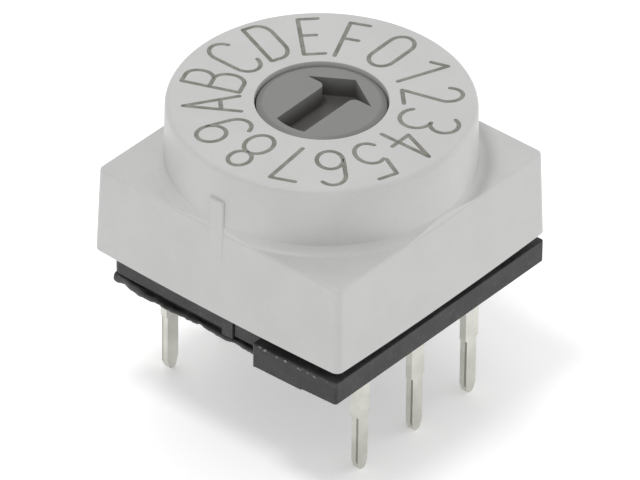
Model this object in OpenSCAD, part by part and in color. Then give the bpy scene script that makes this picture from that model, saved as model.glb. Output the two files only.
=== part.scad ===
// Sixteen-position rotary code switch for a circuit board, with three and three solder pins.
// Origin: centre of the pin pattern, on the plane of the board. +Z is up, +Y is the dial's zero.
// All lengths are in millimetres.

/* [Pin grid] */
// Distance between the pins of one row
pin_pitch = 2.54; // [2.4:0.01:2.7]
// Pitches between the two rows
row_pitches = 3; // [3]
// Thickness of the terminal sheet
blade_t = 0.25; // [0.2:0.01:0.3]
// Width of a pin below its shoulder
pin_w = 0.5; // [0.4:0.01:0.6]
// Extra width of the shoulder on each side of the pin
shoulder_step = 0.045; // [0.02:0.005:0.08]
// Length of the shoulder below the board plane
shoulder_len = 1.95; // [1.5:0.05:2.5]
// Height of the slope between shoulder and pin
shoulder_slope = 0.05; // [0.03:0.01:0.1]
// Length of a pin below the board plane
pin_len = 3.97; // [3.6:0.01:5]
// Length of the rounded tip
tip_len = 0.35; // [0.25:0.05:0.6]
// Depth of the torn band along the sheared edges of a pin
shear_depth = 0.04; // [0.02:0.005:0.06]
// Width of the torn band, from the pin's outer face
shear_w = 0.1; // [0.05:0.005:0.12]

/* [Housing] */
// Thickness of the side wall at the rim
side_wall = 0.85; // [0.75:0.01:1.1]
// Draft of the four side faces, in degrees
body_draft = 1.8; // [1:0.1:3]
// Radius of the upright corners
corner_r = 0.24; // [0.2:0.02:0.6]
// Height of the rim above the board
rim_z = 1.3; // [1.2:0.01:1.5]
// Height of the square part, from rim to shoulder
block_h = 2.95; // [2.8:0.01:3.5]
// Height of the round collar above the shoulder
collar_h = 2.19; // [2:0.01:2.6]
// Draft of the collar, in degrees
collar_draft = 1.8; // [1:0.1:3]
// Rounding of the collar's top edge
collar_edge_r = 0.18; // [0.08:0.02:0.3]
// Rounding of the shoulder's edge
shoulder_edge_r = 0.1; // [0.05:0.01:0.2]
// Fillet at the collar's foot
foot_fillet_r = 0.3; // [0.1:0.05:0.5]
// Width of the upright rib on the front face
rib_w = 0.55; // [0.3:0.05:0.8]
// Height of the rib's top end above the shoulder
rib_rise = 1.1; // [0.8:0.05:1.6]
// Length of the rib
rib_len = 2.8; // [1.8:0.1:3]
// How far the rib stands out of the shoulder's edge
rib_proud = 0.05; // [0.02:0.005:0.08]
// Rounding of the rib's upright edges
rib_edge_r = 0.06; // [0.02:0.01:0.1]
// Rounding of the bore's upper edge
bore_edge_r = 0.08; // [0.02:0.01:0.12]
// Thickness of the housing's top
top_wall = 0.88; // [0.7:0.02:1]
// How far the round chamber lies inside the square pocket
chamber_step = 0.1; // [0.05:0.01:0.2]
// Gap between the contact floor and the end of the square pocket
pocket_gap = 0.1; // [0.05:0.01:0.2]

/* [Rotor] */
// Diameter of the head that shows in the dial
head_d = 3.94; // [3.6:0.02:4.2]
// How far the head lies below the housing's top
head_drop = 0.06; // [0.02:0.01:0.15]
// Width of the sloping ring round the head
head_slope_w = 0.2; // [0.1:0.01:0.3]
// Height of that ring
head_slope_h = 0.1; // [0.05:0.01:0.15]
// Turn of the rotor off the dial's zero, as the detent leaves it, in degrees
rest_turn = 1; // [-5:0.5:5]
// Thickness of the detent wheel
wheel_t = 1.2; // [1:0.05:1.3]
// Number of switch positions
positions = 16; // [10, 16]
// Depth of a detent notch
notch_depth = 0.25; // [0.15:0.01:0.3]
// Radius of a detent notch
notch_r = 0.45; // [0.4:0.01:0.5]
// Depth of the pivot hole above the wheel's underside
pivot_hole_h = 0.75; // [0.6:0.05:0.8]
// Gap between the pivot's end and the end of its hole
pivot_end_gap = 0.1; // [0.05:0.01:0.15]

/* [Arrow slot] */
// Depth of the screwdriver slot
slot_depth = 0.65; // [0.4:0.05:0.7]
// Width of the arrow's shaft
shaft_w = 0.98; // [0.8:0.02:1.2]
// Radius of the arrow's tail, from the axis
tail_r = 1.6; // [1.4:0.01:1.65]
// Width over the arrow's barbs
barb_w = 2.32; // [2:0.02:2.6]
// Distance of the barbs from the axis
barb_y = 0.78; // [0.6:0.02:0.9]
// Distance of the arrow's point from the axis
point_y = 1.54; // [1.3:0.02:1.65]
// Fillet where the arrow's shaft meets a barb
slot_corner_r = 0.2; // [0.1:0.01:0.25]

/* [Seal ring] */
// Thickness of the ring's section
ring_t = 0.5; // [0.4:0.02:0.54]

/* [Code disc] */
// How far the disc lies inside the detent wheel's crests
disc_step = 0.06; // [0.02:0.01:0.1]
// Margin between the outer track and the disc's edge
disc_edge = 0.09; // [0.05:0.01:0.15]
// Thickness of the disc
disc_t = 0.2; // [0.15:0.01:0.25]
// Height of the raised tracks
track_t = 0.05; // [0.03:0.01:0.08]
// Radius of the common track's centre line
common_r = 0.85; // [0.83:0.01:0.87]
// Width of a track
track_w = 0.36; // [0.3:0.01:0.4]
// Angle left free between two positions, in degrees
track_gap = 4; // [2:0.5:6]

/* [Detent springs] */
// Thickness of the leaf
leaf_t = 0.12; // [0.08:0.01:0.14]
// Height of the leaf
leaf_h = 0.7; // [0.5:0.05:0.8]
// Radius of the nose in the middle of the leaf
nose_r = 0.16; // [0.12:0.01:0.2]
// How far the nose stands out of the leaf
nose_h = 0.12; // [0.08:0.01:0.12]
// Room behind the middle of a leaf
leaf_back = 0.31; // [0.25:0.01:0.4]
// Distance of a leaf's top edge below the wheel's top
leaf_drop = 0.15; // [0.05:0.01:0.3]
// Width of the post that carries a leaf
post_w = 1.2; // [0.8:0.05:1.4]

/* [Base] */
// Height of the rail that stands on the board
rail_h = 0.92; // [0.8:0.01:1.1]
// Height of the relief under the rail, round the pins
relief_h = 0.15; // [0.05:0.01:0.2]
// Width of that relief, from the rail's outer side
relief_w = 1.3; // [1.2:0.05:1.6]
// How far the rail lies inside the housing's right side
rail_inset = 0.06; // [0.04:0.01:0.12]
// Width of the rail
rail_w = 3.3; // [2.9:0.05:3.5]
// Rounding of the rail's upright corners
rail_corner_r = 0.1; // [0.05:0.05:0.5]
// How far the base's band lies inside the housing's rim
band_inset = 0.39; // [0.35:0.01:0.44]
// Rounding of the band's upright corners
band_corner_r = 0.35; // [0.2:0.05:0.5]
// Height of the band's lower edge above the board
band_z = 0.43; // [0.4:0.01:0.5]
// Distance of the seam in the band from the axis
seam_x = 0.38; // [0.1:0.02:0.6]
// Width of the seam
seam_w = 0.06; // [0.04:0.01:0.1]
// Depth of the seam
seam_depth = 0.12; // [0.08:0.01:0.16]
// How far the band steps back beyond the seam
seam_step = 0.05; // [0.02:0.01:0.08]
// Width of the web that fills the groove beside the seam
web_w = 0.42; // [0.3:0.02:0.6]
// Depth of the groove below the band
groove_depth = 0.16; // [0.1:0.01:0.2]
// Radius of the pivot that carries the rotor
pivot_r = 0.45; // [0.35:0.01:0.48]
// Height of the potting compound's top above the board
pot_top = 0.21; // [0.2:0.01:0.25]
// Mean thickness of the potting compound
pot_t = 0.15; // [0.12:0.01:0.15]
// How far the compound's edge wanders in and out
pot_wave = 0.03; // [0.01:0.005:0.04]

/* [Contacts] */
// Thickness of the contact spring sheet
spring_t = 0.08; // [0.05:0.01:0.1]
// Width of a contact finger
finger_w = 0.3; // [0.2:0.01:0.36]
// Radius of a finger's rounded tip
tip_r = 0.1; // [0.08:0.01:0.12]
// Width of a terminal's inner pad
pad_w = 0.8; // [0.7:0.05:1]
// Length of a terminal's inner pad
pad_len = 1.1; // [1:0.05:1.2]
// Margin of a terminal's pad round the contact's root
pad_margin = 0.1; // [0.05:0.01:0.15]
// Height from the contact floor to the tracks
contact_h = 0.65; // [0.6:0.01:0.75]
// Angle of the contact points from the X axis, for the weights 4, 2, 1 and 8
angle_4 = 57; // [50:1:62]
angle_2 = 57; // [50:1:62]
angle_1 = 70; // [66:1:74]
angle_8 = 59; // [52:1:64]

/* [Fits] */
// Radial clearance of the head in the housing and of the pivot in the rotor
turn_gap = 0.05; // [0.02:0.01:0.08]
// Gap between the wheel and the housing's top
thrust_gap = 0.05; // [0.02:0.01:0.08]
// Gap between the seal ring and what it lies in
ring_gap = 0.02; // [0.01:0.01:0.03]
// Gap between the base's plug and the housing's pocket
plug_gap = 0.05; // [0.02:0.01:0.08]
// Gap between the outer faces of the terminals and the pocket
leg_gap = 0.065; // [0.05:0.005:0.08]
// Gap between a detent nose and the wheel's crests
nose_gap = 0.05; // [0.03:0.01:0.08]
// Gap between a leaf's post and the wheel's crests
post_gap = 0.08; // [0.05:0.01:0.1]
// Gap between a leaf's ends and the chamber's wall
leaf_end_gap = 0.02; // [0.01:0.01:0.04]
// Gap between a contact tip and the tracks
contact_gap = 0.02; // [0.01:0.01:0.04]

/* [Hidden] */
$fn = 96;

// Overshoot of a cut past a face
over = 0.5;

// Colours
housing_colour = [0.78, 0.78, 0.77];
rotor_colour = [0.52, 0.52, 0.53];
base_colour = [0.16, 0.16, 0.17];
potting_colour = [0.12, 0.12, 0.13];
tin_colour = [0.76, 0.75, 0.70];
spring_colour = [0.85, 0.72, 0.40];
disc_colour = [0.20, 0.42, 0.26];
steel_colour = [0.70, 0.71, 0.72];
ring_colour = [0.10, 0.10, 0.11];

// Heights
shoulder_z = rim_z + block_h;
top_z = shoulder_z + collar_h;
ceiling_z = top_z - top_wall;
head_z = top_z - head_drop;
wheel_z = ceiling_z - thrust_gap;
wheel_bottom_z = wheel_z - wheel_t;
disc_bottom_z = wheel_bottom_z - disc_t;
track_z = disc_bottom_z - track_t;
ring_pocket_z = wheel_z + ring_t + 2 * ring_gap;
floor_z = track_z - contact_h;
pocket_z = floor_z + pocket_gap;
leaf_z = wheel_z - leaf_drop - leaf_h;
pot_bottom_z = pot_top - pot_t;

// Half widths of the square forms
row_x = row_pitches * pin_pitch / 2;
leg_outer_x = row_x + blade_t / 2;
pocket_half = leg_outer_x + leg_gap;
rim_half = pocket_half + side_wall;
shoulder_half = rim_half - block_h * tan(body_draft);
plug_half = pocket_half - plug_gap;
band_half = rim_half - band_inset;
groove_half = band_half - groove_depth;
rail_right_x = rim_half - rail_inset;
rail_x = rail_right_x - rail_w;

// Radii of the round forms
collar_top_r = shoulder_half - collar_h * tan(collar_draft);
head_r = head_d / 2;
bore_r = head_r + turn_gap;
ring_r = head_r + ring_gap + ring_t / 2;
ring_pocket_r = ring_r + ring_t / 2 + ring_gap;
disc_hole_r = pivot_r + turn_gap;

// Detent wheel and leaves, from the chamber's wall inwards
chamber_r = pocket_half - chamber_step;
leaf_y = chamber_r - leaf_back - leaf_t;
wheel_r = leaf_y - nose_h - nose_gap;
post_y = wheel_r + post_gap;

// Tracks: ring 0 is the common one, rings 1 to 4 carry the weights below
disc_r = wheel_r - disc_step;
track_step = (disc_r - disc_edge - track_w / 2 - common_r) / 4;
ring_4 = 1;
ring_2 = 2;
ring_1 = 3;
ring_8 = 4;

// Terminals
pad_inner_x = leg_outer_x - pad_len;

// Phases of the compound's wandering edge along the left side, the back and the underside
left_phase = 3;
back_phase = 7;
under_phase = 1.3;

// Radius of a track's centre line
function track_radius(ring) = common_r + ring * track_step;

// Contact point on a track, in the right-hand half: distances along X and Y
function tip_x(ring, angle) = track_radius(ring) * cos(angle);
function tip_y(ring, angle) = track_radius(ring) * sin(angle);

// Prism with rounded upright edges between two corners
module rounded_block(low, high, r) {
    size = high - low;
    translate([low.x + r, low.y, low.z]) cube([size.x - 2 * r, size.y, size.z]);
    translate([low.x, low.y + r, low.z]) cube([size.x, size.y - 2 * r, size.z]);
    for (x = [low.x + r, high.x - r])
        for (y = [low.y + r, high.y - r])
            translate([x, y, low.z]) cylinder(r = r, h = size.z);
}

// Square prism with sharp edges, centred on the axis
module square_block(half, z0, z1) {
    translate([-half, -half, z0]) cube([2 * half, 2 * half, z1 - z0]);
}

// Thin square slice with rounded corners, a section of the drafted block
module block_slice(half, r, z) {
    for (x = [-1, 1])
        for (y = [-1, 1])
            translate([x * (half - r), y * (half - r), z]) cylinder(r = r, h = 0.001, $fn = 32);
}

// Lower part of the housing: drafted on four sides, with a rounded shoulder edge
module drafted_block() {
    edge = shoulder_edge_r;
    hull() {
        block_slice(rim_half, corner_r, rim_z);
        block_slice(shoulder_half + edge * tan(body_draft), corner_r, shoulder_z - edge);
        for (a = [30, 60])
            block_slice(shoulder_half - edge * (1 - cos(a)), corner_r, shoulder_z - edge * (1 - sin(a)));
        block_slice(shoulder_half - edge, corner_r - edge / 2, shoulder_z - 0.001);
    }
}

// Round collar, drafted, with a rounded top edge
module collar() {
    r = collar_edge_r;
    rotate_extrude() union() {
        polygon([
            [0, shoulder_z - 0.5], [shoulder_half - shoulder_edge_r, shoulder_z - 0.5],
            [shoulder_half - shoulder_edge_r, shoulder_z - shoulder_edge_r],
            [shoulder_half, shoulder_z], [collar_top_r, top_z - r], [collar_top_r - r, top_z], [0, top_z]
        ]);
        translate([collar_top_r - r, top_z - r]) circle(r = r);
    }
}

// Fillet between the collar and the four corner shelves, trimmed to the block
module foot_fillet() {
    r = foot_fillet_r;
    inner = shoulder_half - 0.05;
    intersection() {
        rotate_extrude() difference() {
            translate([inner, shoulder_z - 0.05]) square([r + 0.05, r + 0.05]);
            translate([shoulder_half + r, shoulder_z + r]) circle(r = r);
        }
        square_block(shoulder_half - 0.01, shoulder_z - 0.2, shoulder_z + r + 0.1);
    }
}

// Upright rib on the front face: it grows out of the drafted face and ends in a small ledge
module front_rib() {
    rib_z = shoulder_z + rib_rise;
    rib_y = shoulder_half + rib_proud;
    rounded_block([-rib_w / 2, -rib_y, rib_z - rib_len], [rib_w / 2, -chamber_r - 0.1, rib_z], rib_edge_r);
}

// Cut that rounds the bore's upper edge
module bore_edge() {
    r = bore_edge_r;
    rotate_extrude() difference() {
        translate([bore_r - over, top_z - r]) square([r + over, r + over]);
        translate([bore_r + r, top_z - r]) circle(r = r);
    }
}

module housing() {
    color(housing_colour) difference() {
        union() {
            drafted_block();
            collar();
            foot_fillet();
            front_rib();
        }
        square_block(pocket_half, rim_z - over, pocket_z);
        translate([0, 0, rim_z - over]) cylinder(r = chamber_r, h = ceiling_z - rim_z + over);
        translate([0, 0, ceiling_z - over]) cylinder(r = ring_pocket_r, h = ring_pocket_z - ceiling_z + over);
        translate([0, 0, ceiling_z - over]) cylinder(r = bore_r, h = top_wall + 2 * over);
        bore_edge();
    }
}

// Outline of the screwdriver slot: an arrow that points to +Y
module arrow_outline() {
    intersection() {
        translate([-shaft_w / 2, -head_d]) square([shaft_w, head_d + barb_y + 0.01]);
        circle(r = tail_r);
    }
    polygon([[-barb_w / 2, barb_y], [barb_w / 2, barb_y], [0, point_y]]);
    inner_corner_fillet();
    mirror([1, 0]) inner_corner_fillet();
}

// Small fillet where the arrow's shaft meets a barb
module inner_corner_fillet() {
    r = slot_corner_r;
    difference() {
        translate([shaft_w / 2 - 0.01, barb_y - r]) square([r + 0.01, r + 0.01]);
        translate([shaft_w / 2 + r, barb_y - r]) circle(r = r);
    }
}

// Detent wheel with one notch for each position
module detent_wheel() {
    difference() {
        translate([0, 0, wheel_bottom_z]) cylinder(r = wheel_r, h = wheel_t);
        for (i = [0:positions - 1])
            rotate(90 + i * 360 / positions)
                translate([wheel_r + notch_r - notch_depth, 0, wheel_bottom_z - over])
                    cylinder(r = notch_r, h = wheel_t + 2 * over, $fn = 48);
    }
}

module rotor() {
    color(rotor_colour) rotate(rest_turn) difference() {
        union() {
            translate([0, 0, wheel_bottom_z]) cylinder(r = head_r, h = head_z - head_slope_h - wheel_bottom_z);
            translate([0, 0, head_z - head_slope_h])
                cylinder(r1 = head_r, r2 = head_r - head_slope_w, h = head_slope_h);
            detent_wheel();
        }
        translate([0, 0, head_z - slot_depth]) linear_extrude(slot_depth + over) arrow_outline();
        translate([0, 0, wheel_bottom_z - over]) cylinder(r = disc_hole_r, h = pivot_hole_h + over);
    }
}

// Rubber ring round the rotor's head, under the housing's top
module rotor_seal() {
    color(ring_colour) translate([0, 0, wheel_z + ring_gap + ring_t / 2])
        rotate_extrude() translate([ring_r, 0]) circle(r = ring_t / 2, $fn = 48);
}

// Sector of a track, centred on an angle
module track_sector(ring, angle, width) {
    r = track_radius(ring);
    rotate(angle - width / 2) rotate_extrude(angle = width)
        translate([r - track_w / 2, track_z]) square([track_w, track_t + 0.02]);
}

// Track of one weight: raised at each position whose number holds that weight
module coded_track(ring, weight, contact_angle) {
    step = 360 / positions;
    for (p = [0:positions - 1])
        if (floor(p / weight) % 2 == 1)
            track_sector(ring, contact_angle + p * step, step - track_gap);
}

// Disc under the rotor: a full common track inside, and one coded track for each weight
module code_disc() {
    color(disc_colour) rotate(rest_turn) difference() {
        union() {
            translate([0, 0, disc_bottom_z]) cylinder(r = disc_r, h = disc_t);
            track_sector(0, 0, 360);
            coded_track(ring_1, 1, angle_1);
            coded_track(ring_2, 2, 180 - angle_2);
            coded_track(ring_4, 4, 180 + angle_4);
            coded_track(ring_8, 8, -angle_8);
        }
        translate([0, 0, track_z - over]) cylinder(r = disc_hole_r, h = disc_t + 2 * over);
    }
}

// Straight leaf across the chamber, with a nose towards the detent wheel
module detent_spring() {
    color(steel_colour) translate([0, 0, leaf_z]) intersection() {
        linear_extrude(leaf_h) union() {
            translate([-chamber_r, leaf_y]) square([2 * chamber_r, leaf_t]);
            intersection() {
                translate([0, leaf_y - nose_h + nose_r]) circle(r = nose_r, $fn = 48);
                translate([-nose_r, leaf_y - nose_h]) square([2 * nose_r, nose_h + leaf_t / 2]);
            }
        }
        cylinder(r = chamber_r - leaf_end_gap, h = leaf_h);
    }
}

module detent_spring_a() {
    detent_spring();
}

module detent_spring_b() {
    rotate(180) detent_spring();
}

// Outline of a terminal's leg seen from the side: shoulder, small step, pin and rounded tip
module leg_outline() {
    half = pin_w / 2;
    shoulder_half_w = half + shoulder_step;
    slope_z = shoulder_slope - shoulder_len;
    tip_z = tip_len - pin_len;
    tip = [for (a = [0:15:180]) [half * cos(a), tip_z - tip_len * sin(a)]];
    polygon(concat(
        [[-half, -shoulder_len], [-shoulder_half_w, slope_z], [-shoulder_half_w, floor_z - blade_t]],
        [[shoulder_half_w, floor_z - blade_t], [shoulder_half_w, slope_z], [half, -shoulder_len]],
        tip
    ));
}

// Torn band along both edges of a pin, on its outer face
module shear_bands() {
    for (s = [-1, 1])
        translate([leg_outer_x - shear_w, s * pin_w / 2 - shear_depth, -pin_len - over])
            cube([shear_w + over, 2 * shear_depth, pin_len - shoulder_len + over]);
}

// Terminal of the right-hand row: pad on the contact floor, bent down into the pin
module terminal_form(y) {
    translate([0, y, 0]) union() {
        difference() {
            translate([row_x - blade_t / 2, 0, 0]) rotate([90, 0, 90]) linear_extrude(blade_t) leg_outline();
            shear_bands();
        }
        translate([pad_inner_x, -pad_w / 2, floor_z - blade_t]) cube([pad_len, pad_w, blade_t]);
    }
}

// Terminal in either row: side 1 is right, side -1 is left
module terminal(side, y) {
    color(tin_colour) mirror([side < 0 ? 1 : 0, 0, 0]) terminal_form(y);
}

module terminal_1() { terminal(1, pin_pitch); }
module terminal_common_a() { terminal(1, 0); }
module terminal_8() { terminal(1, -pin_pitch); }
module terminal_2() { terminal(-1, pin_pitch); }
module terminal_common_b() { terminal(-1, 0); }
module terminal_4() { terminal(-1, -pin_pitch); }

// Contact spring on the pad at pad_y, with its finger along X and its tip at the point x, y
module contact_form(pad_y, x, y) {
    root_w = pad_w - 2 * pad_margin;
    low_y = min(pad_y - root_w / 2, y - finger_w / 2);
    high_y = max(pad_y + root_w / 2, y + finger_w / 2);
    bend_x = pad_inner_x + pad_margin;
    tip_z = track_z - contact_gap - tip_r;
    intersection() {
        translate([0, 0, floor_z - over]) linear_extrude(track_z - floor_z + over) union() {
            translate([bend_x, low_y]) square([leg_outer_x - pad_margin - bend_x, high_y - low_y]);
            translate([x - over, y - finger_w / 2]) square([bend_x + over + pad_margin - x, finger_w]);
        }
        translate([0, high_y + over, 0]) rotate([90, 0, 0]) linear_extrude(high_y - low_y + 2 * over) polygon([
            [leg_outer_x, floor_z], [bend_x, floor_z], [x, tip_z - spring_t / 2],
            [x, tip_z + spring_t / 2], [bend_x, floor_z + spring_t], [leg_outer_x, floor_z + spring_t]
        ]);
    }
    translate([x, y + finger_w / 2, tip_z]) rotate([90, 0, 0]) cylinder(r = tip_r, h = finger_w, $fn = 48);
}

// Contact spring in either row, for a track and an angle from the X axis
module contact(side, pad_y, ring, angle) {
    color(spring_colour) mirror([side < 0 ? 1 : 0, 0, 0])
        contact_form(pad_y, tip_x(ring, angle), tip_y(ring, angle));
}

module contact_1() { contact(1, pin_pitch, ring_1, angle_1); }
module contact_common_a() { contact(1, 0, 0, 0); }
module contact_8() { contact(1, -pin_pitch, ring_8, -angle_8); }
module contact_2() { contact(-1, pin_pitch, ring_2, angle_2); }
module contact_common_b() { contact(-1, 0, 0, 0); }
module contact_4() { contact(-1, -pin_pitch, ring_4, -angle_4); }

// Room for one terminal in the base and in the potting compound
module terminal_slot(side, y) {
    w = pin_w + 2 * shoulder_step;
    mirror([side < 0 ? 1 : 0, 0, 0]) translate([0, y, 0]) {
        translate([row_x - blade_t / 2, -w / 2, -over]) cube([blade_t, w, rim_z + over]);
        translate([row_x - blade_t / 2, -w / 2, rim_z]) cube([blade_t + over, w, floor_z - rim_z]);
        translate([pad_inner_x, -pad_w / 2, floor_z - blade_t]) cube([pad_len + over, pad_w, blade_t + over]);
    }
}

module terminal_slots() {
    for (side = [-1, 1])
        for (i = [-1:1])
            terminal_slot(side, i * pin_pitch);
}

// Posts on the contact floor that carry the two leaves
module leaf_posts() {
    intersection() {
        for (side = [0, 180])
            rotate(side) translate([-post_w / 2, post_y, floor_z - 0.01])
                cube([post_w, chamber_r, leaf_z - floor_z + 0.01]);
        cylinder(r = chamber_r - plug_gap, h = leaf_z);
    }
}

// Band under the housing's rim, and the groove below it
module band_and_groove() {
    rounded_block([-band_half, -band_half, band_z], [band_half, band_half, rim_z], band_corner_r);
    rounded_block([-groove_half, -groove_half, pot_top], [groove_half, groove_half, band_z + 0.01], band_corner_r);
    translate([seam_x - web_w, -band_half, pot_top]) cube([web_w, 2 * band_half, band_z - pot_top + 0.01]);
}

// Seam in the band, and the shallow step back between the seam and the rail
module band_seams() {
    for (side = [-1, 1]) {
        translate([seam_x, side * band_half - seam_depth, pot_top - over])
            cube([seam_w, 2 * seam_depth, rim_z - pot_top + over]);
        translate([seam_x, side * band_half - seam_step, pot_top - over])
            cube([rail_x - seam_x, 2 * seam_step, rim_z - pot_top + over]);
    }
}

// Moulded base: plug inside the housing, band under its rim, rail on the board
module base() {
    pivot_top_z = wheel_bottom_z + pivot_hole_h - pivot_end_gap;
    color(base_colour) difference() {
        union() {
            square_block(plug_half, rim_z - 0.01, floor_z);
            difference() {
                band_and_groove();
                band_seams();
            }
            rounded_block([rail_x, -rim_half, 0], [rail_right_x, rim_half, rail_h], rail_corner_r);
            translate([0, 0, floor_z - 0.01]) cylinder(r = pivot_r, h = pivot_top_z - floor_z + 0.01);
            leaf_posts();
        }
        translate([rail_right_x - relief_w, -rim_half - over, -over])
            cube([relief_w + over, 2 * (rim_half + over), relief_h + over]);
        terminal_slots();
    }
}

// How far the compound's edge stands out at a distance along it
function wander(s) = pot_wave * (sin(s * 260) + 0.6 * sin(s * 610 + 40));

// Potting compound under the left part of the base, with a hand-laid edge
module potting_seal() {
    h = band_half;
    step = h / 14;
    edge = concat(
        [for (x = [rail_x:-step:-h + 0.2]) [x, -h - wander(x)]],
        [for (y = [-h + 0.2:step:h - 0.2]) [-h - wander(y + left_phase), y]],
        [for (x = [-h + 0.2:step:rail_x]) [x, h + wander(x + back_phase)]],
        [[rail_x, h]]
    );
    underside = concat(
        [[-rim_half, pot_top], [-rim_half, pot_bottom_z]],
        [for (x = [-h:step:rail_x]) [x, pot_bottom_z + wander(x + under_phase)]],
        [[rail_x, pot_bottom_z], [rail_x, pot_top]]
    );
    color(potting_colour) difference() {
        intersection() {
            linear_extrude(pot_top) polygon(edge);
            translate([0, rim_half, 0]) rotate([90, 0, 0]) linear_extrude(2 * rim_half) polygon(underside);
        }
        terminal_slots();
    }
}

housing();
rotor();
rotor_seal();
code_disc();
detent_spring_a();
detent_spring_b();
base();
potting_seal();
terminal_1();
terminal_2();
terminal_4();
terminal_8();
terminal_common_a();
terminal_common_b();
contact_1();
contact_2();
contact_4();
contact_8();
contact_common_a();
contact_common_b();
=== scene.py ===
# %% [markdown]
# A sealed rotary code switch for a circuit board: a light grey housing with a round dial, a grey
# rotor with an arrow slot, a black base, a layer of black resin and six tinned pins.
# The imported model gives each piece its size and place. This lesson models the pieces that show
# again with fine edges, in the same places, and gives every piece its finish.

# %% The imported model
import math
import bmesh
import bpy
from mathutils import Matrix, Vector


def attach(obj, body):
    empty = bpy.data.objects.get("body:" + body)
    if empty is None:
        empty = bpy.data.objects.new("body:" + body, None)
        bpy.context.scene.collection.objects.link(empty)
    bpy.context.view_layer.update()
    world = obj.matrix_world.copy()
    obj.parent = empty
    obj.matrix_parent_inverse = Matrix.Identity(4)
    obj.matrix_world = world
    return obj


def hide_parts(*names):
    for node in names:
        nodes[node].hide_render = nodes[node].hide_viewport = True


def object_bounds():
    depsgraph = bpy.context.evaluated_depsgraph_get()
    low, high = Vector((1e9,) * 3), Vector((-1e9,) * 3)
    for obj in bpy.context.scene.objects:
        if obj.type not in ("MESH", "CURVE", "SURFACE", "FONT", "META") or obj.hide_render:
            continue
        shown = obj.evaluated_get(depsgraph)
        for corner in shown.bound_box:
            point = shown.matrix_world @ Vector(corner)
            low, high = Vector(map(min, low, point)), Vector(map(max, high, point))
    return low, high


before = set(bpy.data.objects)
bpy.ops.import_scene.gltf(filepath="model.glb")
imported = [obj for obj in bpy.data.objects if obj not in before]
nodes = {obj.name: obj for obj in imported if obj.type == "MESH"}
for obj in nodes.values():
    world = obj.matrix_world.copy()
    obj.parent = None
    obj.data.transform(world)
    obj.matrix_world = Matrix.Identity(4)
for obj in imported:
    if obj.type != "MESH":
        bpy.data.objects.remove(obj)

cad_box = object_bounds()
MM = 0.001
print("nodes:", len(nodes), "box in mm:", [[round(v / MM, 2) for v in p] for p in cad_box])

# %% [markdown]
# The camera stands where the photographer stood, far off with a long lens. Its place comes from
# matching the housing's corners and the pins' ends, so it is written as two angles, a small roll
# and a distance. A matrix built from the three directions is simpler here than aiming by hand.

# %% Camera
AZIMUTH, ELEVATION, ROLL = (math.radians(v) for v in (40.236, 36.259, 0.678))
DISTANCE, SHIFT_RIGHT, SHIFT_UP, BOARD_SHIFT = 253.585, 0.006, 0.697, 0.397
FOCAL_PIXELS, PHOTO_WIDTH, SENSOR = 8378.212, 640, 36
back = Vector((math.sin(AZIMUTH) * math.cos(ELEVATION), -math.cos(AZIMUTH) * math.cos(ELEVATION), math.sin(ELEVATION)))
level = Vector((math.cos(AZIMUTH), math.sin(AZIMUTH), 0))
upward = back.cross(level)
camera_right = level * math.cos(ROLL) + upward * math.sin(ROLL)
camera_up = upward * math.cos(ROLL) - level * math.sin(ROLL)
eye = SHIFT_RIGHT * camera_right + SHIFT_UP * camera_up + DISTANCE * back + Vector((0, 0, BOARD_SHIFT))
camera_data = bpy.data.cameras.new("camera")
camera_data.lens = FOCAL_PIXELS * SENSOR / PHOTO_WIDTH
camera_data.clip_start, camera_data.clip_end = 0.01, 10
camera = bpy.data.objects.new("camera", camera_data)
bpy.context.scene.collection.objects.link(camera)
camera.matrix_world = Matrix.Translation(eye * MM) @ Matrix((camera_right, camera_up, back)).transposed().to_4x4()
bpy.context.scene.camera = camera
print("camera at", [round(v, 1) for v in eye], "mm, lens", round(camera_data.lens, 1))

# %% [markdown]
# Small products are photographed in a light tent, so the light comes from all round and shadows are
# faint. A white world does most of this. Three soft lamps add the rest: one behind at the right gives
# the collar its gentle shading, a weak one lights its left side, and one overhead lifts the dial.

# %% Floor, tent and lamps
FLOOR_Z = cad_box[0][2]
bpy.ops.mesh.primitive_plane_add(size=3, location=(0, 0, FLOOR_Z))
floor = bpy.context.object
floor.name = "floor"


def soft_lamp(name, place, size, power):
    """A square lamp at a place in mm, aimed at the middle of the switch."""
    data = bpy.data.lights.new(name, "AREA")
    data.size = size * MM
    data.energy = power
    lamp = bpy.data.objects.new(name, data)
    bpy.context.scene.collection.objects.link(lamp)
    lamp.location = Vector(place) * MM
    lamp.rotation_euler = (Vector((0, 0, 2)) - Vector(place)).to_track_quat("-Z", "Y").to_euler()
    return lamp


soft_lamp("lamp_right", (120, 190, 60), 160, 0.10)
soft_lamp("lamp_back", (-70, 50, 110), 80, 0.018)
soft_lamp("lamp_front", (-20, -50, 215), 40, 0.12)
world = bpy.data.worlds.new("light_tent")
world.use_nodes = True
world.node_tree.nodes["Background"].inputs["Color"].default_value = (1, 1, 1, 1)
world.node_tree.nodes["Background"].inputs["Strength"].default_value = 0.645
bpy.context.scene.world = world
bpy.context.scene.view_settings.view_transform = "Standard"

# %% [markdown]
# The modelling tools. The switch is smaller than a fingertip, and Blender's bevel and merge have
# fixed small tolerances, so each piece is modelled with one millimetre as one unit and is brought to
# metres at the end. Faces and edges are picked in code by their place and direction.

# %% Modelling tools
def alone(piece):
    """Selects one object and makes it the active one."""
    bpy.ops.object.select_all(action="DESELECT")
    piece.select_set(True)
    bpy.context.view_layer.objects.active = piece
    return piece


def named(name):
    """Names the object just added and puts its place and size into its mesh."""
    piece = alone(bpy.context.object)
    piece.name = name
    bpy.ops.object.transform_apply(location=True, rotation=True, scale=True)
    return piece


def box_piece(name, low, high):
    """A box between two corners."""
    low, high = Vector(low), Vector(high)
    bpy.ops.mesh.primitive_cube_add(size=1, location=(low + high) / 2, scale=high - low)
    return named(name)


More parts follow.
